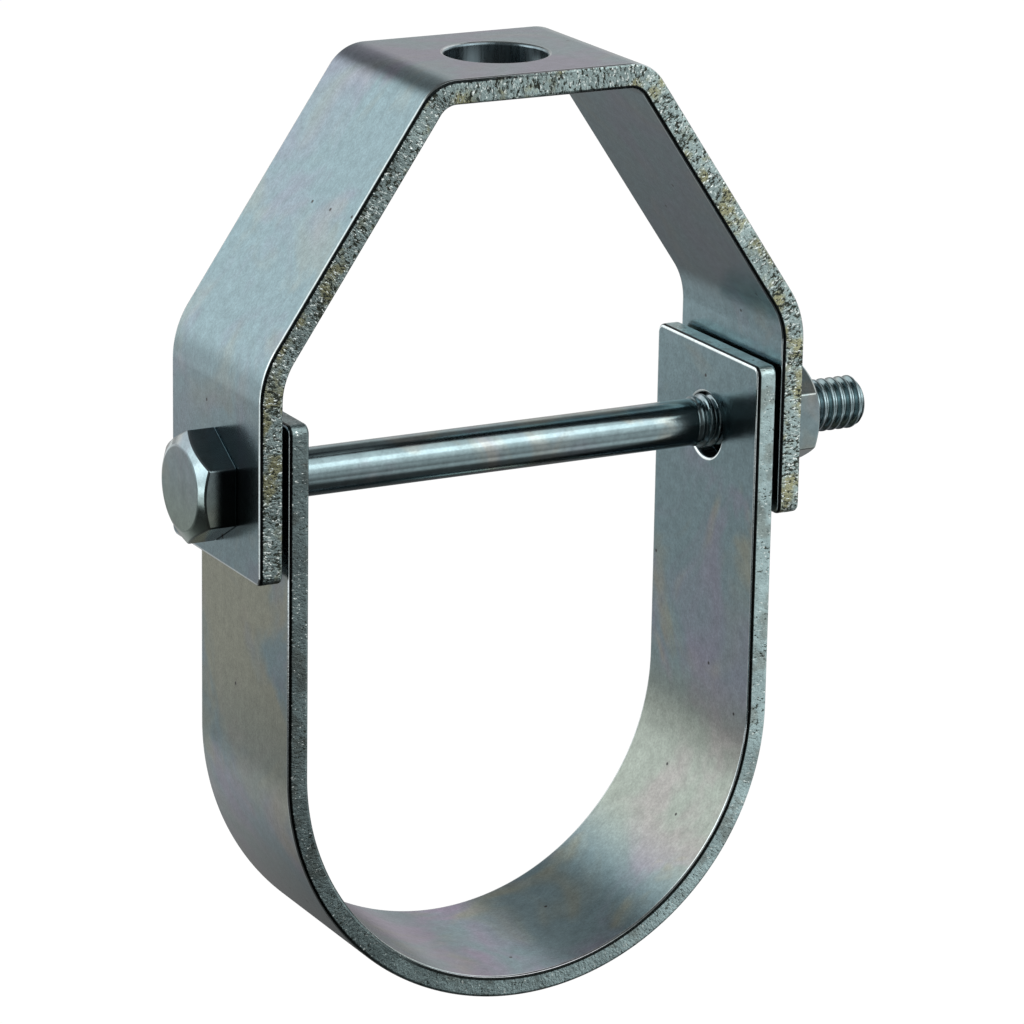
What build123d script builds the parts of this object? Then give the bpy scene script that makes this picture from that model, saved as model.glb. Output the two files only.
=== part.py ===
"""Clevis pipe hanger: a bent yoke, a U-shaped cradle, a cross bolt and its nut.

Frame: the origin is the centre of the rod hole on the yoke's top face, +Z points up,
X runs along the cross bolt (its head is on the -X side) and Y runs along the pipe.
Lengths are in millimetres.
"""
from build123d import *
import math
import os

# ---------------------------------------------------------------- driving dimensions
strap_width = 31.75            # both straps are cut from 1-1/4 in wide flat bar
yoke_thickness = 3.9
cradle_thickness = 3.4
edge_break = 0.4               # the straps' long edges are tumbled off this much
corner_round = 1.5             # sheared corners at the ends of the straps

pipe_space = 77.2              # inside width of the cradle, for 2-1/2 in pipe
side_play = 0.9                # between a cradle ear and a yoke ear

top_to_bolt = 62.4             # top face of the yoke down to the bolt's axis
bolt_to_seat_centre = 43.2     # bolt's axis down to the centre of the round seat
yoke_ear_drop = 12.1           # yoke ears end this far below the bolt's axis
cradle_ear_rise = 12.3         # cradle ears end this far above the bolt's axis
top_plate_length = 36.7        # between the two upper corners, before bending
shoulder_rise = 20.4           # bolt's axis up to the shoulder corner, before bending
top_bend_radius = 7.0          # outside radius of the two upper bends
shoulder_bend_radius = 15.0    # outside radius of the two shoulder bends

rod_diameter = 12.7            # 1/2 in hanger rod
rod_hole_clearance = 3.2       # on the diameter
thread_diameter = 8.5
shank_diameter = 7.5           # rolled thread: the shank is thinner than the thread
bolt_hole_clearance = 1.8      # on the diameter, over the thread
bolt_slack = 0.1               # left between the bolt and the wall of a hole it bears on

wrench_size = 15.6             # across the flats of the bolt's head and of the nut
head_height = 5.9
head_flat_diameter = 13.2      # round flat inside the head's chamfer
nut_height = 8.6
nut_flat_diameter = 14.6       # round flat inside the nut's chamfer
nut_thread_clearance = 0.1     # on the diameter
hex_chamfer_angle = 30
thread_inside_cradle = 3.6     # the thread starts this far inside the right-hand ear
thread_runout = 0.45           # the thread's first turn rises from the shank this gently
bolt_beyond_nut = 10.8
bolt_end_chamfer = 0.9

# ---------------------------------------------------------------- worked-out places
rod_hole_diameter = rod_diameter + rod_hole_clearance
bolt_hole_diameter = thread_diameter + bolt_hole_clearance
bolt_z = -top_to_bolt
seat_radius = pipe_space / 2
cradle_outer_x = seat_radius + cradle_thickness
yoke_inner_x = cradle_outer_x + side_play
yoke_outer_x = yoke_inner_x + yoke_thickness
# The bolt lies on the bottom of the yoke's holes and the cradle hangs on top of the bolt.
hole_offset = (bolt_hole_diameter - thread_diameter) / 2 - bolt_slack

os.makedirs("parts", exist_ok=True)


def long_edges(strap):
    """The edges between a strap's two cut sides and its rolled faces and ends."""
    return strap.faces().filter_by(Axis.Y).edges()


def chamfered_hexagon(across_flats, flat_diameter, height):
    """A hexagonal prism standing on XY, its top end turned to a cone round a flat circle."""
    corner_radius = across_flats / math.sqrt(3)
    drop = (corner_radius - flat_diameter / 2) * math.tan(math.radians(hex_chamfer_angle))
    with BuildPart() as hexagon:
        with BuildSketch():
            RegularPolygon(corner_radius, 6, rotation=90)
        extrude(amount=height)
        with BuildSketch(Plane.XZ):
            with BuildLine():
                Polyline(
                    (0, 0),
                    (corner_radius, 0),
                    (corner_radius, height - drop),
                    (flat_diameter / 2, height),
                    (0, height),
                    close=True,
                )
            make_face()
        revolve(axis=Axis.Z, mode=Mode.INTERSECT)
    return hexagon.part


# ---------------------------------------------------------------- upper yoke
with BuildPart() as upper_yoke:
    with BuildSketch(Plane.XZ):
        with BuildLine():
            yoke_outside = FilletPolyline(
                (-yoke_outer_x, bolt_z - yoke_ear_drop),
                (-yoke_outer_x, bolt_z + shoulder_rise),
                (-top_plate_length / 2, 0),
                (top_plate_length / 2, 0),
                (yoke_outer_x, bolt_z + shoulder_rise),
                (yoke_outer_x, bolt_z - yoke_ear_drop),
                radius=[shoulder_bend_radius, top_bend_radius, top_bend_radius, shoulder_bend_radius],
            )
            offset(yoke_outside, amount=yoke_thickness, side=Side.RIGHT)
        make_face()
    extrude(amount=strap_width / 2, both=True)
    fillet(upper_yoke.edges().filter_by(Axis.X).group_by(Axis.Z)[0], corner_round)
    chamfer(long_edges(upper_yoke), edge_break)
    Hole(rod_hole_diameter / 2)
    with BuildSketch(Plane.YZ.offset(-yoke_outer_x)):
        with Locations((0, bolt_z + hole_offset)):
            Circle(bolt_hole_diameter / 2)
    extrude(amount=2 * yoke_outer_x, mode=Mode.SUBTRACT)
upper_yoke.part.label = "upper_yoke"
export_step(upper_yoke.part, "parts/upper_yoke.step")

# ---------------------------------------------------------------- lower strap
with BuildPart() as lower_strap:
    with BuildSketch(Plane.XZ):
        with BuildLine():
            cradle_left = Line(
                (-cradle_outer_x, bolt_z + cradle_ear_rise),
                (-cradle_outer_x, bolt_z - bolt_to_seat_centre),
            )
            cradle_bottom = RadiusArc(
                cradle_left @ 1,
                (cradle_outer_x, bolt_z - bolt_to_seat_centre),
                -cradle_outer_x,
            )
            cradle_right = Line(
                cradle_bottom @ 1,
                (cradle_outer_x, bolt_z + cradle_ear_rise),
            )
            offset([cradle_left, cradle_bottom, cradle_right], amount=cradle_thickness, side=Side.LEFT)
        make_face()
    extrude(amount=strap_width / 2, both=True)
    fillet(lower_strap.edges().filter_by(Axis.X).group_by(Axis.Z)[-1], corner_round)
    chamfer(long_edges(lower_strap), edge_break)
    with BuildSketch(Plane.YZ.offset(-cradle_outer_x)):
        with Locations((0, bolt_z - hole_offset)):
            Circle(bolt_hole_diameter / 2)
    extrude(amount=2 * cradle_outer_x, mode=Mode.SUBTRACT)
lower_strap.part.label = "lower_strap"
export_step(lower_strap.part, "parts/lower_strap.step")

# ---------------------------------------------------------------- cross bolt
thread_start_x = seat_radius - thread_inside_cradle
bolt_end_x = yoke_outer_x + nut_height + bolt_beyond_nut
head_seat = Plane(origin=(-yoke_outer_x, 0, bolt_z), x_dir=(0, 1, 0), z_dir=(-1, 0, 0))
bolt_head = chamfered_hexagon(wrench_size, head_flat_diameter, head_height)
with BuildPart() as cross_bolt:
    with BuildSketch(Plane.YZ.offset(-yoke_outer_x)):
        with Locations((0, bolt_z)):
            Circle(shank_diameter / 2)
    extrude(amount=thread_start_x + yoke_outer_x)
    with BuildSketch(Plane.YZ.offset(thread_start_x)):
        with Locations((0, bolt_z)):
            Circle(thread_diameter / 2)
    extrude(amount=bolt_end_x - thread_start_x)
    thread_ends = cross_bolt.edges().filter_by(GeomType.CIRCLE).filter_by(
        lambda edge: abs(edge.radius - thread_diameter / 2) < 1e-6
    )
    chamfer(thread_ends.sort_by(Axis.X)[-1], bolt_end_chamfer)
    chamfer(thread_ends.sort_by(Axis.X)[0], thread_runout)
    with Locations(head_seat):
        add(bolt_head)
cross_bolt.part.label = "cross_bolt"
export_step(cross_bolt.part, "parts/cross_bolt.step")

# ---------------------------------------------------------------- hex nut
nut_seat = Plane(origin=(yoke_outer_x, 0, bolt_z), x_dir=(0, 1, 0), z_dir=(1, 0, 0))
nut_blank = chamfered_hexagon(wrench_size, nut_flat_diameter, nut_height)
with BuildPart() as hex_nut:
    with Locations(nut_seat):
        add(nut_blank)
    with BuildSketch(Plane.YZ.offset(yoke_outer_x)):
        with Locations((0, bolt_z)):
            Circle((thread_diameter + nut_thread_clearance) / 2)
    extrude(amount=nut_height, mode=Mode.SUBTRACT)
hex_nut.part.label = "hex_nut"
export_step(hex_nut.part, "parts/hex_nut.step")
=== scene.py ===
"""Looks for a zinc-plated clevis pipe hanger. Metres, in the frame of the CAD model."""
import math

import bmesh
import bpy
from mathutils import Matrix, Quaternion, Vector, noise


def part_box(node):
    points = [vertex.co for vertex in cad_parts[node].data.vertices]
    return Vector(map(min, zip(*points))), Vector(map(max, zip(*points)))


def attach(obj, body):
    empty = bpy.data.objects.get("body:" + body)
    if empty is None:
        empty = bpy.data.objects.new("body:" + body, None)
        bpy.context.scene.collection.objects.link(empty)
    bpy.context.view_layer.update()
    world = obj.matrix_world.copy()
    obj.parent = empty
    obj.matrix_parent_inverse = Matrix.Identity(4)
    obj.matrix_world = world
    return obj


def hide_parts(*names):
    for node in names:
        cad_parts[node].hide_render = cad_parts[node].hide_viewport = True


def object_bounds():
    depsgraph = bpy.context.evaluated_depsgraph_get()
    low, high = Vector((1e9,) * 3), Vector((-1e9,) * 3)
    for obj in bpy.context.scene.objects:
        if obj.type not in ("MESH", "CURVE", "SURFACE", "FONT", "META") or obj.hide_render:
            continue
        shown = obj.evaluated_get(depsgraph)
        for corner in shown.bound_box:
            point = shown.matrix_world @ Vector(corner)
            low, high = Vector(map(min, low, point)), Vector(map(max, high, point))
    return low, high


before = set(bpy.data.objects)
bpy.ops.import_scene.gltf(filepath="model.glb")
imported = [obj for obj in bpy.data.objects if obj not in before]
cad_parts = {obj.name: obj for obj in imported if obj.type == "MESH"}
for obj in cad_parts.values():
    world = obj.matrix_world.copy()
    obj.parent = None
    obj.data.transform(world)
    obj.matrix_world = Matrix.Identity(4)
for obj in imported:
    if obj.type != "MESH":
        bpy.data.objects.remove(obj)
cad_low, cad_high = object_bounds()
MM = 0.001

# ------------------------------------------------------------------ the camera
# A long lens a little above the hanger and to the left of its front, so that both the
# head of the bolt and the inside of the right-hand side show.
camera_aim = Vector((0.0041, 0.0, -0.0733))
camera_distance = 0.7755
camera_azimuth = math.radians(-28.20)
camera_elevation = math.radians(16.74)
camera_roll = math.radians(0.97)

towards_camera = Vector((
    math.sin(camera_azimuth) * math.cos(camera_elevation),
    -math.cos(camera_azimuth) * math.cos(camera_elevation),
    math.sin(camera_elevation),
))
camera = bpy.data.objects.new("camera", bpy.data.cameras.new("camera"))
camera.data.lens = 174.65
camera.data.sensor_width = 36.0
camera.data.clip_start = 0.01
camera.location = camera_aim + towards_camera * camera_distance
camera.rotation_mode = "QUATERNION"
camera.rotation_quaternion = towards_camera.to_track_quat("Z", "Y") @ Quaternion((0, 0, 1), camera_roll)
bpy.context.scene.collection.objects.link(camera)
bpy.context.scene.camera = camera
bpy.context.scene.view_settings.view_transform = "Standard"

# ------------------------------------------------------------------ floor, room and lamps
# A plain pale floor below the hanging part, and a dim white room with five soft boxes. For
# mirrored rays alone the floor glows unevenly: painted reflections and a painted shadow below the hanger.
floor_drop = 0.06
floor_reach = 4.0
floor_paint = (0.06, 0.06, 0.06, 1.0)
floor_brightness = 0.97
room_light = 0.18
white = (1.0, 1.0, 1.0, 1.0)


def new_material(name):
    """An empty node material, its node tree and a Principled BSDF joined to its output."""
    material = bpy.data.materials.new(name)
    material.use_nodes = True
    tree = material.node_tree
    return material, tree, tree.nodes["Principled BSDF"]


def add_node(tree, kind, settings=None, **inputs):
    """A node with its settings made and its named inputs set to values or joined to sockets."""
    node = tree.nodes.new(kind)
    for key, value in (settings or {}).items():
        setattr(node, key, value)
    for key, value in inputs.items():
        by_number = key[0] == "i" and key[1:].isdigit()
        socket = node.inputs[int(key[1:])] if by_number else node.inputs[key.replace("_", " ")]
        if isinstance(value, bpy.types.NodeSocket):
            tree.links.new(value, socket)
        else:
            socket.default_value = value
    return node


def smooth_range(tree, value, start, end, low=0.0, high=1.0):
    """A smooth step from low to high as a value goes from start to end."""
    step = add_node(tree, "ShaderNodeMapRange", {"interpolation_type": "SMOOTHSTEP"},
                    Value=value, From_Min=start, From_Max=end, To_Min=low, To_Max=high)
    return step.outputs[0]


def arithmetic(tree, operation, *values):
    """The result of one Math node."""
    node = tree.nodes.new("ShaderNodeMath")
    node.operation = operation
    for socket, value in zip(node.inputs, values):
        if isinstance(value, bpy.types.NodeSocket):
            tree.links.new(value, socket)
        else:
            socket.default_value = value
    return node.outputs[0]


floor_mesh = bpy.data.meshes.new("floor")
floor_z = cad_low.z - floor_drop
corner_signs = ((-1, -1), (1, -1), (1, 1), (-1, 1))
floor_corners = [(x * floor_reach, y * floor_reach, floor_z) for x, y in corner_signs]
floor_mesh.from_pydata(floor_corners, [], [(0, 1, 2, 3)])
floor = bpy.data.objects.new("floor", floor_mesh)
bpy.context.scene.collection.objects.link(floor)
floor_material, tree, surface = new_material("floor_paint")
surface.inputs["Base Color"].default_value = floor_paint
surface.inputs["Roughness"].default_value = 0.9
surface.inputs["Specular IOR Level"].default_value = 0.0
rays = tree.nodes.new("ShaderNodeLightPath").outputs
floor_coordinates = tree.nodes.new("ShaderNodeTexCoord").outputs["Object"]
floor_place = add_node(tree, "ShaderNodeSeparateXYZ", Vector=floor_coordinates).outputs
right_by, behind_by = floor_place["X"], floor_place["Y"]
# Painted reflections: for mirrored rays the floor glows brighter or darker by place.
below_hanger = (0.03, 0.0, floor_z)
from_below = add_node(tree, "ShaderNodeVectorMath", {"operation": "DISTANCE"},
                      i0=floor_coordinates, i1=below_hanger).outputs["Value"]
back = smooth_range(tree, behind_by, 0.02, 0.22)
front = arithmetic(tree, "SUBTRACT", 1.0, back)
front_left = arithmetic(tree, "MULTIPLY", smooth_range(tree, right_by, 0.0, 0.12, 1.0, 0.0), front)
# Painted shadow: the mirrored glow is dimmest right below the hanger and in front to the left.
painted_shadow_glow = arithmetic(tree, "MULTIPLY", smooth_range(tree, from_below, 0.11, 0.22, 0.07, 0.19),
                   arithmetic(tree, "SUBTRACT", 1.0, front_left))
far_back = smooth_range(tree, behind_by, 0.38, 0.70, 0.0, 0.56)
shaded_corner = smooth_range(tree, right_by, -0.30, -0.15, 0.22, 0.44)
back_left = arithmetic(tree, "MULTIPLY", arithmetic(tree, "ADD", far_back, shaded_corner), back)
back_left = arithmetic(tree, "MULTIPLY", back_left, smooth_range(tree, right_by, -0.08, 0.06, 1.0, 0.0))
# A painted dark patch in the mirrored glow, behind and to the left.
painted_dark_patch = arithmetic(tree, "MULTIPLY", smooth_range(tree, right_by, -0.17, -0.13, 0.31, 0.0),
                       smooth_range(tree, behind_by, 0.24, 0.34, 1.0, 0.0))
back_left = arithmetic(tree, "SUBTRACT", back_left, arithmetic(tree, "MULTIPLY", painted_dark_patch, back))
front_right = arithmetic(tree, "MULTIPLY", smooth_range(tree, right_by, 0.05, 0.33, 0.0, 0.62), front)
# A painted bright patch in the mirrored glow, to the left.
painted_left_glow = arithmetic(tree, "MULTIPLY", smooth_range(tree, right_by, -0.48, -0.36, 1.6, 0.0),
                       smooth_range(tree, behind_by, -0.20, -0.05))
painted_left_glow = arithmetic(tree, "MULTIPLY", painted_left_glow, smooth_range(tree, behind_by, 0.22, 0.42, 1.0, 0.0))
sheen = arithmetic(tree, "ADD", arithmetic(tree, "ADD", back_left, front_right), painted_left_glow)
# A painted bright patch in the mirrored glow, in front.
painted_front_glow = arithmetic(tree, "MULTIPLY", smooth_range(tree, behind_by, -0.28, -0.20, 0.0, 0.70),
                        smooth_range(tree, behind_by, -0.15, -0.10, 1.0, 0.0))
painted_front_glow = arithmetic(tree, "MULTIPLY", painted_front_glow, smooth_range(tree, right_by, 0.04, 0.10))
sheen = arithmetic(tree, "ADD", sheen, arithmetic(tree, "ADD", painted_shadow_glow, painted_front_glow))
# The camera sees the floor evenly white; mirrored rays see the painted glow.
mirrored = arithmetic(tree, "MAXIMUM", rays["Is Glossy Ray"], rays["Is Transmission Ray"])
glow = arithmetic(tree, "MULTIPLY_ADD", rays["Is Camera Ray"], floor_brightness,
                  arithmetic(tree, "MULTIPLY", mirrored, sheen))
surface.inputs["Emission Color"].default_value = white
tree.links.new(glow, surface.inputs["Emission Strength"])
floor_mesh.materials.append(floor_material)

world = bpy.data.worlds.new("white_room")
world.use_nodes = True
bpy.context.scene.world = world
tree = world.node_tree
room = tree.nodes["Background"]
direction = tree.nodes.new("ShaderNodeTexCoord").outputs["Generated"]
heading = add_node(tree, "ShaderNodeSeparateXYZ", Vector=direction).outputs
rays = tree.nodes.new("ShaderNodeLightPath").outputs


def soft_box(azimuth, elevation, outer, inner, strength):
    """The light of a big soft box in the room, in degrees round its middle."""
    turn, rise = math.radians(azimuth), math.radians(elevation)
    middle = (math.sin(turn) * math.cos(rise), math.cos(turn) * math.cos(rise), math.sin(rise))
    nearness = add_node(tree, "ShaderNodeVectorMath", {"operation": "DOT_PRODUCT"},
                        i0=direction, i1=middle)
    edges = math.cos(math.radians(outer)), math.cos(math.radians(inner))
    return smooth_range(tree, nearness.outputs["Value"], *edges, 0.0, strength)


boxes = arithmetic(tree, "ADD", soft_box(-36, 18, 32, 4, 1.37), soft_box(147, 38, 48, 8, 1.72))
side_boxes = arithmetic(tree, "ADD", soft_box(-72, 26, 30, 8, 2.0), soft_box(72, 26, 34, 6, 1.3))
boxes = arithmetic(tree, "ADD", boxes, arithmetic(tree, "ADD", side_boxes, soft_box(33, 27, 15, 4, 0.50)))
backdrop = smooth_range(tree, heading["Z"], 0.10, 0.40, 0.20, 0.0)
backdrop = arithmetic(tree, "MULTIPLY", backdrop, smooth_range(tree, heading["Y"], -0.2, 0.4))
mirrored = arithmetic(tree, "MAXIMUM", rays["Is Glossy Ray"], rays["Is Transmission Ray"])
level = arithmetic(tree, "MULTIPLY_ADD", mirrored, backdrop, arithmetic(tree, "ADD", boxes, room_light))
level = arithmetic(tree, "MAXIMUM", level, rays["Is Camera Ray"])
room.inputs["Color"].default_value = white
tree.links.new(level, room.inputs["Strength"])


def soft_lamp(name, place, aim, width, depth, power):
    """A rectangular studio lamp at a place, turned towards a point."""
    lamp = bpy.data.objects.new(name, bpy.data.lights.new(name, "AREA"))
    lamp.data.shape = "RECTANGLE"
    lamp.data.size = width
    lamp.data.size_y = depth
    lamp.data.energy = power
    lamp.visible_camera = False
    lamp.location = place
    lamp.rotation_euler = (Vector(aim) - Vector(place)).to_track_quat("-Z", "Y").to_euler()
    bpy.context.scene.collection.objects.link(lamp)


hanger_middle = (cad_low + cad_high) / 2
soft_lamp("left_lamp", (-0.75, 0.12, 0.05), hanger_middle, 0.25, 0.70, 1.0)
soft_lamp("back_panel", (0.20, 0.60, 0.06), (0.20, 0.0, 0.06), 1.00, 0.54, 0.48)
soft_lamp("front_lamp", (0.43, -0.65, 0.45), hanger_middle, 0.30, 0.30, 0.5)

# ------------------------------------------------------------------ the upper yoke
# Hot-rolled flat bar, sheared to length, punched with a rod hole and two bolt holes,
# tumbled, bent four times and bright zinc plated. Its cut sides stay rough.
yoke_low, yoke_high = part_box("upper_yoke")
bolt_low, bolt_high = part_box("cross_bolt")
bolt_z = (bolt_low.z + bolt_high.z) / 2
strap_width = yoke_high.y - yoke_low.y
yoke_thickness = 3.9 * MM
yoke_top_half = 18.35 * MM
yoke_shoulder_rise = 20.4 * MM
yoke_top_bend = 7.0 * MM
yoke_shoulder_bend = 15.0 * MM
rod_hole_radius = 7.95 * MM
bolt_hole_radius = 5.15 * MM
hole_offset = 0.8 * MM
edge_radius = 0.55 * MM
corner_radius = 1.5 * MM
cut_step = 0.6 * MM
corner_steps = 6
edge_steps = 4
rim_steps = 2
core_steps = 6
tear_height = 0.045 * MM
tear_size = 0.9 * MM
tear_fade = 0.4 * MM
face_slot, cut_side_slot, hole_wall_slot, rim_slot = range(4)


def rounded_outline(length, width, radius, step):
    """Points and outward directions round a rectangle with rounded corners, centred on 0, 0."""
    outline = []
    corners = ((1, -1, -90), (1, 1, 0), (-1, 1, 90), (-1, -1, 180))
    for side, (sx, sy, start) in enumerate(corners):
        centre = Vector((sx * (length / 2 - radius), sy * (width / 2 - radius)))
        for k in range(corner_steps + 1):
            angle = math.radians(start + 90 * k / corner_steps)
            way = Vector((math.cos(angle), math.sin(angle)))
            outline.append((centre + way * radius, way))
        run = (width if side % 2 == 0 else length) - 2 * radius
        ahead = Vector((-way.y, way.x))
        count = max(1, round(run / step))
        outline += [(centre + way * radius + ahead * run * k / count, way) for k in range(1, count)]
    return outline


def hole_outline(x, y, radius, count=72):
    """Points round a hole and the directions that lead from the metal into it."""
    outline = []
    for k in range(count):
        angle = -2 * math.pi * k / count
        way = Vector((math.cos(angle), math.sin(angle)))
        outline.append((Vector((x, y)) + way * radius, -way))
    return outline


def along_bends(path, distance):
    """Sideways place, drop and heading at a distance along runs (radius None) and bends."""
    across = drop = heading = 0.0
    for length, radius in path:
        step = min(max(distance, 0.0), length)
        if radius is None:
            across += step * math.cos(heading)
            drop += step * math.sin(heading)
        else:
            turned = heading + step / radius
            across += radius * (math.sin(turned) - math.sin(heading))
            drop += radius * (math.cos(heading) - math.cos(turned))
            heading = turned
        distance -= step
    return across, drop, heading


def bent_strap(name, path, thickness, holes, seat, drop_sign, bend_step=math.radians(2.5)):
    """A flat blank with rounded edges and punched holes, cut across its bends and then bent.

    path runs from the strap's middle to one end along its middle plane; the other half is
    its mirror image. A vertex keeps its place on the flat blank in the attribute "blank".
    """
    reach = sum(length for length, radius in path)
    outlines = [rounded_outline(2 * reach, strap_width, corner_radius, cut_step)]
    outlines += [hole_outline(*hole) for hole in holes]
    quarter = [math.radians(90 * k / edge_steps) for k in range(edge_steps + 1)]
    levels = []
    for a in quarter:
        out, up = math.sin(a), math.cos(a)
        levels.append((edge_radius * (1 - up), edge_radius * (1 - out), out, up))
    inner = thickness - 2 * edge_radius
    levels += [(edge_radius + inner * k / core_steps, 0.0, 1.0, 0.0) for k in range(1, core_steps)]
    other_edge = reversed(levels[:edge_steps + 1])
    levels += [(thickness - d, inset, out, -up) for d, inset, out, up in other_edge]
    blank = bmesh.new()
    facing = blank.verts.layers.float_vector.new("facing")
    flat = blank.verts.layers.float_vector.new("blank")
    first, last = [], []
    for which, outline in enumerate(outlines):
        rings = []
        for depth, inset, out, up in levels:
            ring = []
            for spot, way in outline:
                place = spot - way * inset
                rough = 0.0
                if which == 0 and inset == 0.0:
                    from_edges = min(depth - edge_radius, thickness - edge_radius - depth)
                    fade = min(1.0, from_edges / tear_fade)
                    rough = tear_height * fade * noise.noise(Vector((spot.x, spot.y, depth)) / tear_size)
                vertex = blank.verts.new((place.x + way.x * rough, place.y + way.y * rough, depth))
                vertex[facing] = (way.x * out, way.y * out, -up)
                vertex[flat] = vertex.co
                ring.append(vertex)
            rings.append(ring)
        for level, (upper, lower) in enumerate(zip(rings, rings[1:])):
            for k in range(len(upper)):
                face = blank.faces.new((upper[k - 1], upper[k], lower[k], lower[k - 1]))
                on_wall = rim_steps <= level < len(levels) - 1 - rim_steps
                wall_slot = cut_side_slot if which == 0 else hole_wall_slot
                face.material_index = wall_slot if on_wall else rim_slot
        first.append(rings[0])
        last.append(rings[-1])
    for loops in (first, last):
        edges = [blank.edges.get((ring[k - 1], ring[k])) for ring in loops for k in range(len(ring))]
        filled = bmesh.ops.triangle_fill(blank, use_beauty=True, edges=edges, normal=(0, 0, 1))
        for face in filled["geom"]:
            if isinstance(face, bmesh.types.BMFace):
                face.material_index = face_slot
    distance = 0.0
    for length, radius in path:
        if radius is not None:
            count = math.ceil(length / radius / bend_step)
            for k in range(count + 1):
                for side in (-1, 1):
                    cut = side * (distance + length * k / count)
                    everything = blank.verts[:] + blank.edges[:] + blank.faces[:]
                    where = {"plane_co": (cut, 0, 0), "plane_no": (1, 0, 0)}
                    bmesh.ops.bisect_plane(blank, geom=everything, dist=1e-7, **where)
        distance += length
    bmesh.ops.recalc_face_normals(blank, faces=blank.faces[:])
    if drop_sign < 0:
        bmesh.ops.reverse_faces(blank, faces=blank.faces[:])
    normals = []
    for vertex in blank.verts:
        side = 1.0 if vertex.co.x >= 0 else -1.0
        across, drop, heading = along_bends(path, abs(vertex.co.x))
        forward = Vector((math.cos(heading), math.sin(heading)))
        outward = Vector((math.sin(heading), -math.cos(heading)))
        vertex[flat] = vertex.co
        point = Vector((across, drop)) + outward * (thickness / 2 - vertex.co.z)
        way = vertex[facing]
        turn = forward * way.x * side + outward * -way.z
        vertex.co = (side * point.x, vertex.co.y, seat + drop_sign * point.y)
        normals.append(Vector((side * turn.x, way.y, drop_sign * turn.y)).normalized())
    mesh = bpy.data.meshes.new(name)
    blank.to_mesh(mesh)
    blank.free()
    mesh.attributes.remove(mesh.attributes["facing"])
    mesh.shade_smooth()
    mesh.normals_split_custom_set_from_vertices(normals)
    strap = bpy.data.objects.new(name, mesh)
    bpy.context.scene.collection.objects.link(strap)
    return strap


def bend_between(first_heading, last_heading, outside_radius, thickness):
    """Length and middle radius of a bend, and how far its ends lie from the outside corner."""
    angle = last_heading - first_heading
    middle_radius = outside_radius - thickness / 2
    return angle * middle_radius, middle_radius, outside_radius * math.tan(angle / 2)


arm_across = yoke_high.x - yoke_top_half
arm_drop = -(bolt_z + yoke_shoulder_rise)
arm_heading = math.atan2(arm_drop, arm_across)
top_bend = bend_between(0.0, arm_heading, yoke_top_bend, yoke_thickness)
shoulder_bend = bend_between(arm_heading, math.pi / 2, yoke_shoulder_bend, yoke_thickness)
ear_length = bolt_z + yoke_shoulder_rise - yoke_low.z - shoulder_bend[2]
yoke_path = [
    (yoke_top_half - top_bend[2], None),
    top_bend[:2],
    (math.hypot(arm_across, arm_drop) - top_bend[2] - shoulder_bend[2], None),
    shoulder_bend[:2],
    (ear_length, None),
]
yoke_reach = sum(length for length, radius in yoke_path)
yoke_hole_place = yoke_reach - (bolt_z + hole_offset - yoke_low.z)
upper_yoke = bent_strap(
    "upper_yoke_bar",
    yoke_path,
    yoke_thickness,
    [
        (0.0, 0.0, rod_hole_radius),
        (yoke_hole_place, 0.0, bolt_hole_radius),
        (-yoke_hole_place, 0.0, bolt_hole_radius),
    ],
    -yoke_thickness / 2,
    -1,
)


def node_group(name, inputs, outputs):
    """An empty shader node group, with its input sockets' outputs and its output's inputs."""
    group = bpy.data.node_groups.new(name, "ShaderNodeTree")
    for title, kind, value in inputs:
        socket = group.interface.new_socket(title, in_out="INPUT", socket_type=kind)
        if value is not None:
            socket.default_value = value
    for title, kind in outputs:
        group.interface.new_socket(title, in_out="OUTPUT", socket_type=kind)
    given = group.nodes.new("NodeGroupInput").outputs
    made = group.nodes.new("NodeGroupOutput").inputs
    return group, given, made


def blend(tree, share, first, second, mode="MIX"):
    """Two colours mixed by a share."""
    mixed = add_node(tree, "ShaderNodeMix", {"data_type": "RGBA", "blend_type": mode},
                     i0=share, i6=first, i7=second)
    return mixed.outputs[2]


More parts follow.
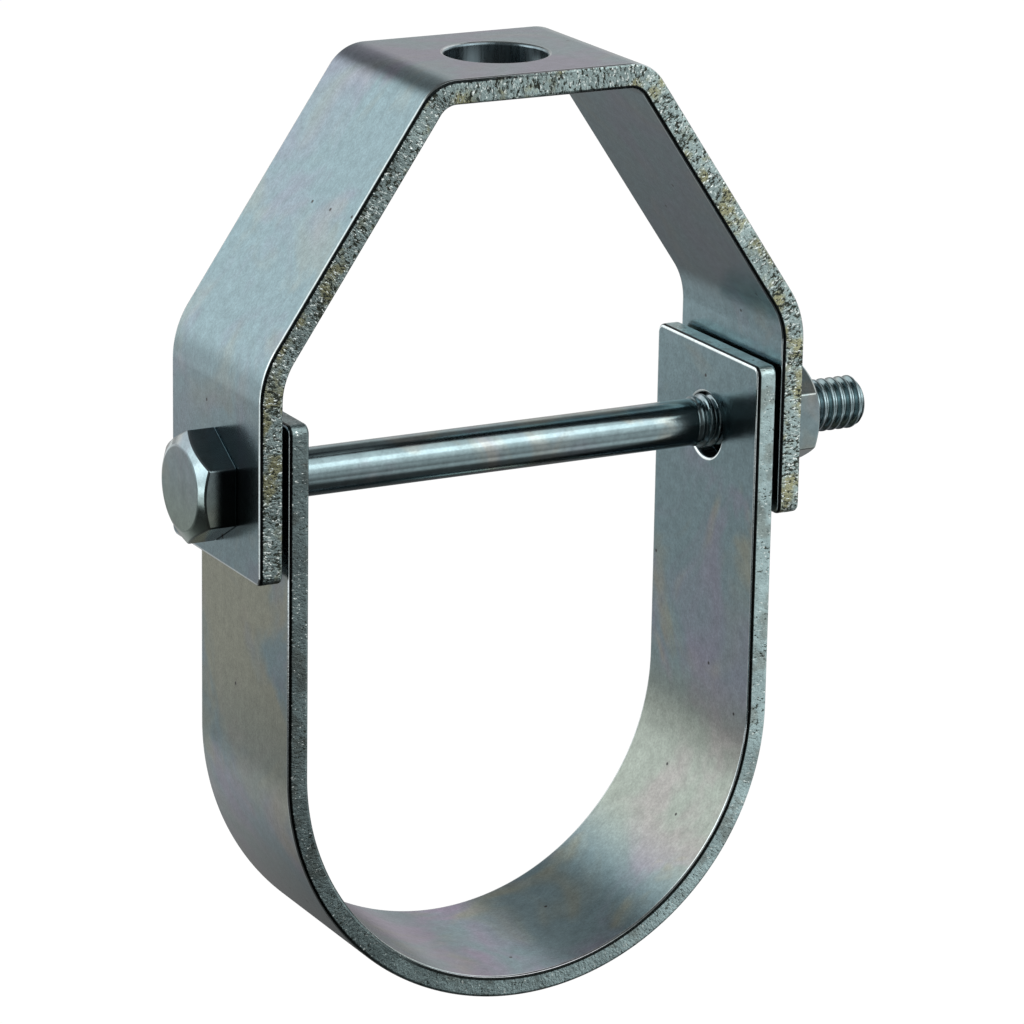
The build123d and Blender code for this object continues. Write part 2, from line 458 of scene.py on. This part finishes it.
def zinc_plate_group():
    """Bright zinc plate: teal, lilac and olive clouds, fine grain and a few pits.

    Lilac and olive each gather round a place along the bar, and olive on its outer face.
    """
    group, given, made = node_group(
        "zinc_plate",
        (
            ("Place", "NodeSocketVector", None),
            ("Teal", "NodeSocketColor", (0.175, 0.255, 0.28, 1)),
            ("Lilac", "NodeSocketColor", (0.235, 0.19, 0.28, 1)),
            ("Olive", "NodeSocketColor", (0.27, 0.27, 0.22, 1)),
            ("Clouds", "NodeSocketFloat", 0.28),
            ("Outside Olive", "NodeSocketFloat", 0.0),
            ("Cloud Size", "NodeSocketFloat", 60.0),
            ("Lilac Centre", "NodeSocketFloat", 0.0),
            ("Lilac Reach", "NodeSocketFloat", 0.02),
            ("Olive Centre", "NodeSocketFloat", -1.0),
            ("Roughness", "NodeSocketFloat", 0.2),
            ("Grain", "NodeSocketFloat", 1.6),
            ("Pits", "NodeSocketFloat", 1.0),
        ),
        (("Color", "NodeSocketColor"), ("Roughness", "NodeSocketFloat"), ("Normal", "NodeSocketVector")),
    )
    clouds = add_node(group, "ShaderNodeTexNoise", Vector=given["Place"], Scale=given["Cloud Size"],
                      Detail=3.0, Roughness=0.55, Distortion=0.8)
    hues = add_node(group, "ShaderNodeSeparateColor", Color=clouds.outputs["Color"]).outputs
    spot = add_node(group, "ShaderNodeSeparateXYZ", Vector=given["Place"]).outputs
    off_lilac = arithmetic(group, "ABSOLUTE",
                           arithmetic(group, "SUBTRACT", spot["X"], given["Lilac Centre"]))
    off_lilac = arithmetic(group, "DIVIDE", off_lilac, given["Lilac Reach"])
    lilac_part = smooth_range(group, off_lilac, 0.5, 1.3, 1.0, 0.0)
    lilac = smooth_range(group, arithmetic(group, "MULTIPLY_ADD", lilac_part, 0.1, hues[0]), 0.48, 0.70)
    lilac = arithmetic(group, "MULTIPLY", lilac,
                       arithmetic(group, "MULTIPLY_ADD", lilac_part, 0.45, given["Clouds"]))
    off_olive = arithmetic(group, "ABSOLUTE",
                           arithmetic(group, "SUBTRACT", spot["X"], given["Olive Centre"]))
    olive_part = smooth_range(group, off_olive, 0.008, 0.022, 0.5, 0.0)
    olive = arithmetic(group, "MULTIPLY", smooth_range(group, hues[1], 0.50, 0.68), given["Clouds"])
    olive = arithmetic(group, "MAXIMUM", olive, olive_part)
    outside = smooth_range(group, spot["Z"], 0.001, 0.002, 1.0, 0.0)
    outside = arithmetic(group, "MULTIPLY", outside, smooth_range(group, hues[2], 0.35, 0.55))
    along = arithmetic(group, "ABSOLUTE", spot["X"])
    outside = arithmetic(group, "MULTIPLY", outside, smooth_range(group, along, 0.045, 0.080, 0.25, 1.0))
    olive = arithmetic(group, "MAXIMUM", olive,
                       arithmetic(group, "MULTIPLY", outside, given["Outside Olive"]))
    tint = blend(group, olive, blend(group, lilac, given["Teal"], given["Lilac"]), given["Olive"])
    grain = add_node(group, "ShaderNodeTexNoise", Vector=given["Place"], Scale=2000.0, Detail=3.0,
                     Roughness=0.7)
    speckle = arithmetic(group, "SUBTRACT", grain.outputs["Fac"], 0.5)
    graining = arithmetic(group, "MULTIPLY", speckle, given["Grain"])
    shade = arithmetic(group, "MULTIPLY_ADD", graining, 0.5, 1.0)
    mottling = add_node(group, "ShaderNodeTexNoise", Vector=given["Place"], Scale=520.0,
                        Detail=2.0).outputs["Fac"]
    shade = arithmetic(group, "MULTIPLY", shade, arithmetic(group, "MULTIPLY_ADD", mottling, 0.5, 0.75))
    grained = blend(group, 1.0, tint, shade, "MULTIPLY")
    cells = add_node(group, "ShaderNodeTexVoronoi", {"voronoi_dimensions": "2D"},
                     Vector=given["Place"], Scale=150.0)
    chosen = add_node(group, "ShaderNodeSeparateColor", Color=cells.outputs["Color"]).outputs[0]
    rare = arithmetic(group, "MULTIPLY", arithmetic(group, "LESS_THAN", chosen, 0.12), given["Pits"])
    hollow = arithmetic(group, "MULTIPLY",
                        smooth_range(group, cells.outputs["Distance"], 0.025, 0.055, 1.0, 0.0), rare)
    group.links.new(blend(group, hollow, grained, (0.03, 0.03, 0.03, 1)), made["Color"])
    rolled = add_node(group, "ShaderNodeMapping", {"vector_type": "TEXTURE"}, Vector=given["Place"],
                      Scale=(9.0, 1.0, 1.0))
    rolling = add_node(group, "ShaderNodeTexNoise", Vector=rolled.outputs[0], Scale=700.0, Detail=3.0,
                       Roughness=0.6)
    streak = arithmetic(group, "SUBTRACT", rolling.outputs["Fac"], 0.5)
    group.links.new(arithmetic(group, "MULTIPLY_ADD", streak, 0.06, given["Roughness"]),
                    made["Roughness"])
    relief = arithmetic(group, "MULTIPLY_ADD", speckle, given["Grain"],
                        arithmetic(group, "MULTIPLY", streak, 0.4))
    relief = arithmetic(group, "SUBTRACT", relief, arithmetic(group, "MULTIPLY", hollow, 2.0))
    bump = add_node(group, "ShaderNodeBump", Strength=0.12, Distance=0.00005, Height=relief)
    group.links.new(bump.outputs[0], made["Normal"])
    return group


def finished(name, group, place_on_blank, **values):
    """A metal finish: a Principled BSDF fed with colour, roughness and normal by a node group."""
    material, tree, surface = new_material(name)
    if place_on_blank:
        place = add_node(tree, "ShaderNodeAttribute", {"attribute_name": "blank"}).outputs["Vector"]
    else:
        place = tree.nodes.new("ShaderNodeTexCoord").outputs["Object"]
    finish = tree.nodes.new("ShaderNodeGroup")
    finish.node_tree = group
    tree.links.new(place, finish.inputs["Place"])
    for key, value in values.items():
        finish.inputs[key].default_value = (*value, 1) if isinstance(value, tuple) else value
    surface.inputs["Metallic"].default_value = 1.0
    tree.links.new(finish.outputs["Color"], surface.inputs["Base Color"])
    tree.links.new(finish.outputs["Roughness"], surface.inputs["Roughness"])
    tree.links.new(finish.outputs["Normal"], surface.inputs["Normal"])
    return material


def sheared_side_group():
    """A sheared and plated side: torn metal with painted glints, black specks and olive tarnish, a
    painted dark line along its edges and painted light along its length.
    """
    group, given, made = node_group(
        "sheared_side",
        (
            ("Place", "NodeSocketVector", None),
            ("Plate", "NodeSocketColor", (0.34, 0.44, 0.435, 1)),
            ("Tarnish", "NodeSocketColor", (0.34, 0.35, 0.22, 1)),
            ("Thickness", "NodeSocketFloat", yoke_thickness),
            ("Line Crosses At", "NodeSocketFloat", 0.0),
            ("Specks", "NodeSocketFloat", 0.45),
            ("Glints", "NodeSocketFloat", 0.60),
            ("Grain Size", "NodeSocketFloat", 2800.0),
            ("Tear", "NodeSocketFloat", 1.0),
            ("Left Painted Light", "NodeSocketFloat", 0.62),
            ("Right Painted Light", "NodeSocketFloat", 1.0),
        ),
        (("Color", "NodeSocketColor"), ("Roughness", "NodeSocketFloat"), ("Normal", "NodeSocketVector")),
    )
    sheared_way = add_node(group, "ShaderNodeMapping", {"vector_type": "TEXTURE"},
                           Vector=given["Place"], Scale=(1.0, 1.0, 1.8)).outputs[0]
    torn = add_node(group, "ShaderNodeTexNoise", Vector=sheared_way, Scale=given["Grain Size"],
                    Detail=3.0, Roughness=0.6)
    parts = add_node(group, "ShaderNodeSeparateColor", Color=torn.outputs["Color"]).outputs
    patches = add_node(group, "ShaderNodeTexNoise", Vector=given["Place"], Scale=280.0, Detail=3.0)
    hues = add_node(group, "ShaderNodeSeparateColor", Color=patches.outputs["Color"]).outputs
    metal = blend(group, smooth_range(group, hues[0], 0.50, 0.66), given["Plate"], given["Tarnish"])
    metal = blend(group, 1.0, metal, arithmetic(group, "MULTIPLY_ADD", hues[1], 1.2, 0.4), "MULTIPLY")
    threshold = arithmetic(group, "MULTIPLY_ADD", hues[2], 0.35,
                           arithmetic(group, "SUBTRACT", given["Specks"], 0.175))
    dark = smooth_range(group, arithmetic(group, "SUBTRACT", parts[0], threshold), -0.05, 0.04, 1.0, 0.0)
    spot = add_node(group, "ShaderNodeSeparateXYZ", Vector=given["Place"]).outputs
    # A painted dark line along the cut side: at its outer edge left of the crossing point, at its inner
    # edge right of it.
    crossed = smooth_range(group, arithmetic(group, "SUBTRACT", spot["X"], given["Line Crosses At"]),
                           -0.012, 0.012)
    from_outside = arithmetic(group, "MULTIPLY_ADD", parts[1], 0.0003, spot["Z"])
    depth_left = arithmetic(group, "SUBTRACT", given["Thickness"], spot["Z"])
    from_inside = arithmetic(group, "ADD", depth_left, 0.00015)
    line_ends = edge_radius + 0.00012, edge_radius + 0.00026
    outer_line = smooth_range(group, from_outside, *line_ends, 1.0, 0.0)
    outer_line = arithmetic(group, "MULTIPLY", outer_line, arithmetic(group, "SUBTRACT", 1.0, crossed))
    inner_line = smooth_range(group, from_inside, *line_ends, 1.0, 0.0)
    inner_line = arithmetic(group, "MULTIPLY", inner_line, crossed)
    painted_shade_line = arithmetic(group, "MAXIMUM", outer_line, inner_line)
    # Painted light: the cut side is darker towards its left end and brighter towards its right.
    ends = smooth_range(group, spot["X"], -0.06, 0.015, given["Left Painted Light"], given["Right Painted Light"])
    metal = blend(group, 1.0, metal, ends, "MULTIPLY")
    metal = blend(group, dark, metal, (0.040, 0.048, 0.038, 1))
    metal = blend(group, painted_shade_line, metal, (0.010, 0.013, 0.013, 1))
    # Painted glints: white specks in the base colour.
    bright = smooth_range(group, arithmetic(group, "SUBTRACT", parts[1], given["Glints"]), -0.02, 0.05)
    bright = arithmetic(group, "MULTIPLY", bright, arithmetic(group, "SUBTRACT", 1.0, painted_shade_line))
    group.links.new(blend(group, bright, metal, (0.84, 0.93, 0.90, 1)), made["Color"])
    group.links.new(arithmetic(group, "MULTIPLY_ADD", parts[2], 0.3, 0.2), made["Roughness"])
    bump = add_node(group, "ShaderNodeBump", Strength=given["Tear"], Distance=0.0002, Height=parts[0])
    group.links.new(bump.outputs[0], made["Normal"])
    return group


def punched_wall_group():
    """The wall of a punched hole: dark, smooth, and scored along the punch's stroke."""
    group, given, made = node_group(
        "punched_wall",
        (("Place", "NodeSocketVector", None), ("Wall", "NodeSocketColor", (0.16, 0.21, 0.23, 1))),
        (("Color", "NodeSocketColor"), ("Roughness", "NodeSocketFloat"), ("Normal", "NodeSocketVector")),
    )
    stroke = add_node(group, "ShaderNodeMapping", {"vector_type": "TEXTURE"}, Vector=given["Place"],
                      Scale=(1.0, 1.0, 9.0))
    score = add_node(group, "ShaderNodeTexNoise", Vector=stroke.outputs[0], Scale=1300.0,
                     Detail=2.0).outputs["Fac"]
    group.links.new(blend(group, 1.0, given["Wall"], arithmetic(group, "ADD", score, 0.5), "MULTIPLY"),
                    made["Color"])
    group.links.new(arithmetic(group, "MULTIPLY_ADD", score, 0.2, 0.18), made["Roughness"])
    bump = add_node(group, "ShaderNodeBump", Strength=0.25, Distance=0.0001, Height=score)
    group.links.new(bump.outputs[0], made["Normal"])
    return group


zinc_plate = zinc_plate_group()
sheared_side = sheared_side_group()
punched_wall = punched_wall_group()
upper_yoke.data.materials.append(finished("yoke_plate", zinc_plate, True))
upper_yoke.data.materials.append(finished("yoke_sheared_side", sheared_side, True))
upper_yoke.data.materials.append(finished("punched_wall", punched_wall, True))
# The rounded edges get a brighter tint than the plate: a painted highlight.
rim_highlight_tints = {"Teal": (0.36, 0.42, 0.43), "Lilac": (0.40, 0.39, 0.42), "Olive": (0.41, 0.41, 0.37)}
strap_rim_highlight = finished("strap_rim_highlight", zinc_plate, True, Roughness=0.11, Pits=0.0, **rim_highlight_tints)
upper_yoke.data.materials.append(strap_rim_highlight)
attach(upper_yoke, "yoke")
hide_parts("upper_yoke")

# ------------------------------------------------------------------ the lower strap
# Thinner flat bar of the same width, punched at both ends and bent to a U round a
# mandrel. It hangs on the bolt, inside the yoke's ears.
cradle_low, cradle_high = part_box("lower_strap")
cradle_thickness = 3.4 * MM
seat_outer_radius = cradle_high.x
seat_middle_radius = seat_outer_radius - cradle_thickness / 2
cradle_side = cradle_high.z - (cradle_low.z + seat_outer_radius)
cradle_path = [
    (seat_middle_radius * math.pi / 2, seat_middle_radius),
    (cradle_side, None),
]
cradle_reach = sum(length for length, radius in cradle_path)
cradle_hole_place = cradle_reach - (cradle_high.z - (bolt_z - hole_offset))
lower_strap = bent_strap(
    "lower_strap_bar",
    cradle_path,
    cradle_thickness,
    [(cradle_hole_place, 0.0, bolt_hole_radius), (-cradle_hole_place, 0.0, bolt_hole_radius)],
    cradle_low.z + cradle_thickness / 2,
    1,
)
cradle_tints = {"Teal": (0.172, 0.252, 0.275), "Lilac": (0.26, 0.22, 0.305), "Olive": (0.30, 0.29, 0.205),
                "Clouds": 0.6, "Outside Olive": 0.75, "Cloud Size": 45.0, "Lilac Centre": -0.008,
                "Lilac Reach": 0.014, "Olive Centre": 0.046}
cradle_plate = finished("cradle_plate", zinc_plate, True, **cradle_tints)
cradle_side_metal = {"Plate": (0.35, 0.465, 0.47), "Tarnish": (0.25, 0.31, 0.30), "Specks": 0.35,
                     "Glints": 0.65, "Tear": 0.6, "Thickness": cradle_thickness,
                     "Line Crosses At": -0.03, "Left Painted Light": 0.45, "Right Painted Light": 1.12}
cradle_sheared = finished("cradle_sheared_side", sheared_side, True, **cradle_side_metal)
lower_strap.data.materials.append(cradle_plate)
lower_strap.data.materials.append(cradle_sheared)
lower_strap.data.materials.append(bpy.data.materials["punched_wall"])
# The lower strap's rounded edges get a still brighter tint: a painted highlight.
cradle_rim_highlight_tints = {"Teal": (0.56, 0.63, 0.64), "Lilac": (0.60, 0.59, 0.62), "Olive": (0.61, 0.61, 0.55)}
cradle_rim_highlight = finished("cradle_rim_highlight", zinc_plate, True, Roughness=0.11, Pits=0.0, **cradle_rim_highlight_tints)
lower_strap.data.materials.append(cradle_rim_highlight)
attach(lower_strap, "cradle")
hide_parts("lower_strap")

# ------------------------------------------------------------------ the cross bolt
# Cold-headed steel: a hex head with a turned chamfer, a smooth bright shank and a thread
# rolled up from it, all zinc plated.
nut_low, nut_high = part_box("hex_nut")
wrench_size = bolt_high.y - bolt_low.y
head_height = yoke_low.x - bolt_low.x
head_flat_radius = 6.6 * MM
hex_chamfer = math.radians(30)
shank_radius = 3.75 * MM
thread_radius = 4.25 * MM
thread_root_radius = 3.55 * MM
thread_pitch = 1.6 * MM
thread_start = 35.0 * MM
thread_run_up = 1.4 * thread_pitch
thread_steps_along = 560
thread_steps_round = 81
bolt_end_radius = 3.35 * MM
eased_width = 0.28 * MM


def hexagon_mesh(across_flats, flat_radius, height, bore_radius, seat, outwards):
    """A hexagon with its outer end turned to a cone, standing on a yoke ear at x = seat."""
    count = 72
    shape = bmesh.new()

    def ring(radius_at, height_at):
        made = []
        for k in range(count):
            angle = 2 * math.pi * k / count
            radius = radius_at(angle)
            made.append(shape.verts.new((
                seat + outwards * height_at(radius),
                radius * math.sin(angle) * outwards,
                bolt_z + radius * math.cos(angle),
            )))
        return made

    def hexagon_corner_up(angle):
        return across_flats / 2 / math.cos(angle % (math.pi / 3) - math.pi / 6)

    slope = math.tan(hex_chamfer)
    rings = [
        ring(hexagon_corner_up, lambda radius: 0.0),
        ring(hexagon_corner_up, lambda radius: height - (radius - flat_radius) * slope),
        ring(lambda angle: flat_radius, lambda radius: height),
    ]
    if bore_radius:
        sink = 0.7 * MM
        rings += [
            ring(lambda angle: bore_radius + sink, lambda radius: height),
            ring(lambda angle: bore_radius, lambda radius: height - sink),
            ring(lambda angle: bore_radius, lambda radius: sink),
            ring(lambda angle: bore_radius + sink, lambda radius: 0.0),
        ]
        rings.append(rings[0])
    for lower, upper in zip(rings, rings[1:]):
        for k in range(count):
            shape.faces.new((lower[k - 1], lower[k], upper[k], upper[k - 1]))
    if not bore_radius:
        shape.faces.new(rings[0])
        shape.faces.new(rings[-1])
    bmesh.ops.recalc_face_normals(shape, faces=shape.faces[:])
    mesh = bpy.data.meshes.new("hexagon")
    shape.to_mesh(mesh)
    shape.free()
    mesh.shade_smooth()
    return mesh


def eased(piece, width, segments=3):
    """Small rounded edges on a forged or machined piece."""
    bevel = piece.modifiers.new("eased_edges", "BEVEL")
    bevel.width = width
    bevel.segments = segments
    bevel.limit_method = "ANGLE"
    bevel.angle_limit = math.radians(20)
    bevel.harden_normals = True


def thread_tree():
    """Geometry Nodes: a bolt's shaft with a rolled thread, from a grid of distance and angle."""
    tree = bpy.data.node_groups.new("rolled_thread", "GeometryNodeTree")
    tree.interface.new_socket("Geometry", in_out="OUTPUT", socket_type="NodeSocketGeometry")
    for name, value in (
        ("Length", 0.113), ("Shank Radius", shank_radius), ("Root Radius", thread_root_radius),
        ("Crest Radius", thread_radius), ("Pitch", thread_pitch), ("Thread Start", 0.082),
        ("End Radius", bolt_end_radius), ("Head X", 0.0), ("Axis Z", 0.0),
    ):
        socket = tree.interface.new_socket(name, in_out="INPUT", socket_type="NodeSocketFloat")
        socket.default_value = value
    tree.interface.new_socket("Material", in_out="INPUT", socket_type="NodeSocketMaterial")
    given = tree.nodes.new("NodeGroupInput").outputs
    made = tree.nodes.new("NodeGroupOutput").inputs
    grid = add_node(tree, "GeometryNodeMeshGrid", Size_X=1.0, Size_Y=2 * math.pi,
                    Vertices_X=thread_steps_along, Vertices_Y=thread_steps_round)
    spot = add_node(tree, "ShaderNodeSeparateXYZ",
                    Vector=tree.nodes.new("GeometryNodeInputPosition").outputs[0])
    share = arithmetic(tree, "ADD", spot.outputs["X"], 0.5)
    angle = spot.outputs["Y"]
    shank_part = 0.06
    on_shank = add_node(tree, "ShaderNodeMapRange", Value=share, From_Min=0.0, From_Max=shank_part,
                        To_Min=arithmetic(tree, "MULTIPLY", given["Shank Radius"], -1.0),
                        To_Max=given["Thread Start"])
    thread_length = arithmetic(tree, "SUBTRACT", given["Length"], given["Thread Start"])
    thread_span = arithmetic(tree, "ADD", thread_length, given["End Radius"])
    on_thread = add_node(tree, "ShaderNodeMapRange", Value=share, From_Min=shank_part, From_Max=1.0,
                         To_Min=0.0, To_Max=thread_span)
    travel = arithmetic(tree, "ADD", on_shank.outputs[0], on_thread.outputs[0])
    beyond = arithmetic(tree, "MAXIMUM", arithmetic(tree, "SUBTRACT", travel, given["Length"]), 0.0)
    before = arithmetic(tree, "MAXIMUM", arithmetic(tree, "MULTIPLY", travel, -1.0), 0.0)
    x = arithmetic(tree, "ADD", arithmetic(tree, "SUBTRACT", travel, beyond), before)
    turns = arithmetic(tree, "SUBTRACT", arithmetic(tree, "DIVIDE", x, given["Pitch"]),
                       arithmetic(tree, "DIVIDE", angle, 2 * math.pi))
    phase = arithmetic(tree, "FRACT", turns)
    tooth = arithmetic(tree, "ABSOLUTE", arithmetic(tree, "SUBTRACT", phase, 0.5))
    tooth = add_node(tree, "ShaderNodeMapRange", {"interpolation_type": "SMOOTHSTEP"}, Value=tooth,
                     From_Min=0.06, From_Max=0.42)
    depth = arithmetic(tree, "SUBTRACT", given["Crest Radius"], given["Root Radius"])
    threaded = arithmetic(tree, "MULTIPLY_ADD", tooth.outputs[0], depth, given["Root Radius"])
    begun = add_node(tree, "ShaderNodeMapRange", {"interpolation_type": "SMOOTHSTEP"},
                     Value=arithmetic(tree, "SUBTRACT", x, given["Thread Start"]), From_Min=0.0,
                     From_Max=thread_run_up)
    swell = arithmetic(tree, "MULTIPLY", arithmetic(tree, "SUBTRACT", threaded, given["Shank Radius"]),
                       begun.outputs[0])
    radius = arithmetic(tree, "ADD", given["Shank Radius"], swell)
    cone = arithmetic(tree, "ADD", given["End Radius"], arithmetic(tree, "SUBTRACT", given["Length"], x))
    radius = arithmetic(tree, "MINIMUM", radius, cone)
    drawn_in = arithmetic(tree, "ADD", beyond, before)
    radius = arithmetic(tree, "MAXIMUM", arithmetic(tree, "SUBTRACT", radius, drawn_in), 0.0)
    place = add_node(
        tree, "ShaderNodeCombineXYZ",
        X=arithmetic(tree, "ADD", x, given["Head X"]),
        Y=arithmetic(tree, "MULTIPLY", arithmetic(tree, "SINE", angle), radius),
        Z=arithmetic(tree, "MULTIPLY_ADD", arithmetic(tree, "COSINE", angle), radius, given["Axis Z"]),
    )
    moved = add_node(tree, "GeometryNodeSetPosition", Geometry=grid.outputs["Mesh"],
                     Position=place.outputs[0])
    sealed = add_node(tree, "GeometryNodeMergeByDistance", Geometry=moved.outputs[0], Distance=1e-6)
    smooth = add_node(tree, "GeometryNodeSetShadeSmooth", Geometry=sealed.outputs[0])
    coated = add_node(tree, "GeometryNodeSetMaterial", Geometry=smooth.outputs[0],
                      Material=given["Material"])
    tree.links.new(coated.outputs[0], made["Geometry"])
    return tree


fastener_tints = {"Teal": (0.195, 0.265, 0.28), "Lilac": (0.24, 0.25, 0.29), "Olive": (0.30, 0.295, 0.25)}
fastener_finish = {"Cloud Size": 70.0, "Lilac Centre": -1.0, "Roughness": 0.17, "Grain": 0.9,
                   "Clouds": 0.55, "Pits": 0.0}
fastener_plate = finished("fastener_plate", zinc_plate, False, **fastener_tints, **fastener_finish)
head_plate = finished("head_plate", zinc_plate, False, **fastener_tints, **fastener_finish)
tree = head_plate.node_tree
head_place = tree.nodes.new("ShaderNodeTexCoord").outputs["Object"]
head_spot = add_node(tree, "ShaderNodeSeparateXYZ", Vector=head_place).outputs
# Painted shade: the head's flats darken towards the ear, below its upper facets. Its tint goes
# from olive to lilac upwards.
painted_shade_start, painted_shade_end = yoke_low.x - 3.3 * MM, yoke_low.x - 2.3 * MM
painted_shade = smooth_range(tree, head_spot["X"], painted_shade_start, painted_shade_end)
painted_shade = arithmetic(tree, "MULTIPLY", painted_shade,
                   smooth_range(tree, head_spot["Z"], bolt_z + 3.9 * MM, bolt_z + 4.5 * MM, 0.78, 0.0))
higher = smooth_range(tree, head_spot["Z"], bolt_z - 6.0 * MM, bolt_z + 5.0 * MM)
bloom = blend(tree, higher, (1.06, 1.0, 0.84, 1), (1.03, 1.0, 1.02, 1))
head_colour = blend(tree, 1.0, tree.nodes["Group"].outputs["Color"], bloom, "MULTIPLY")
head_colour = blend(tree, painted_shade, head_colour, (0.0, 0.0, 0.0, 1))
tree.links.new(head_colour, tree.nodes["Principled BSDF"].inputs["Base Color"])
shaft = bpy.data.objects.new("bolt_shaft", bpy.data.meshes.new("bolt_shaft"))
bpy.context.scene.collection.objects.link(shaft)
thread = thread_tree()
threading = shaft.modifiers.new("thread", "NODES")
threading.node_group = thread
shaft_values = {
    "Length": bolt_high.x - yoke_low.x, "Thread Start": thread_start - yoke_low.x,
    "Head X": yoke_low.x, "Axis Z": bolt_z,
    "Shank Radius": shank_radius, "Root Radius": thread_root_radius, "Crest Radius": thread_radius,
    "Pitch": thread_pitch, "End Radius": bolt_end_radius, "Material": fastener_plate,
}
for item in thread.interface.items_tree:
    if item.in_out == "INPUT" and item.name in shaft_values:
        threading[item.identifier] = shaft_values[item.name]
bpy.context.view_layer.update()
shaft_mesh = bpy.data.meshes.new_from_object(shaft.evaluated_get(bpy.context.evaluated_depsgraph_get()))
bpy.data.objects.remove(shaft)

head_mesh = hexagon_mesh(wrench_size, head_flat_radius, head_height, 0.0, yoke_low.x, -1)
head_mesh.materials.append(head_plate)
head = bpy.data.objects.new("bolt_head", head_mesh)
bpy.context.scene.collection.objects.link(head)
eased(head, eased_width)
bpy.context.view_layer.update()
eased_head = bpy.data.meshes.new_from_object(head.evaluated_get(bpy.context.evaluated_depsgraph_get()))
bpy.data.objects.remove(head)
forged_bolt = bpy.data.objects.new("forged_bolt", eased_head)
threaded_shaft = bpy.data.objects.new("threaded_shaft", shaft_mesh)
for half in (forged_bolt, threaded_shaft):
    bpy.context.scene.collection.objects.link(half)
halves = {"active_object": forged_bolt, "selected_editable_objects": [forged_bolt, threaded_shaft]}
with bpy.context.temp_override(**halves):
    bpy.ops.object.join()
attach(forged_bolt, "yoke")
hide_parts("cross_bolt")

# ------------------------------------------------------------------ the hex nut
# A cold-formed hex nut, chamfered on its outer end, run up against the right-hand ear.
nut_flat_radius = 7.3 * MM
nut_bore_radius = 4.3 * MM
nut_height = nut_high.x - nut_low.x
nut_mesh = hexagon_mesh(wrench_size, nut_flat_radius, nut_height, nut_bore_radius, nut_low.x, 1)
hex_nut = bpy.data.objects.new("hex_nut_blank", nut_mesh)
bpy.context.scene.collection.objects.link(hex_nut)
nut_mesh.materials.append(fastener_plate)
eased(hex_nut, eased_width)
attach(hex_nut, "yoke")
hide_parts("hex_nut")
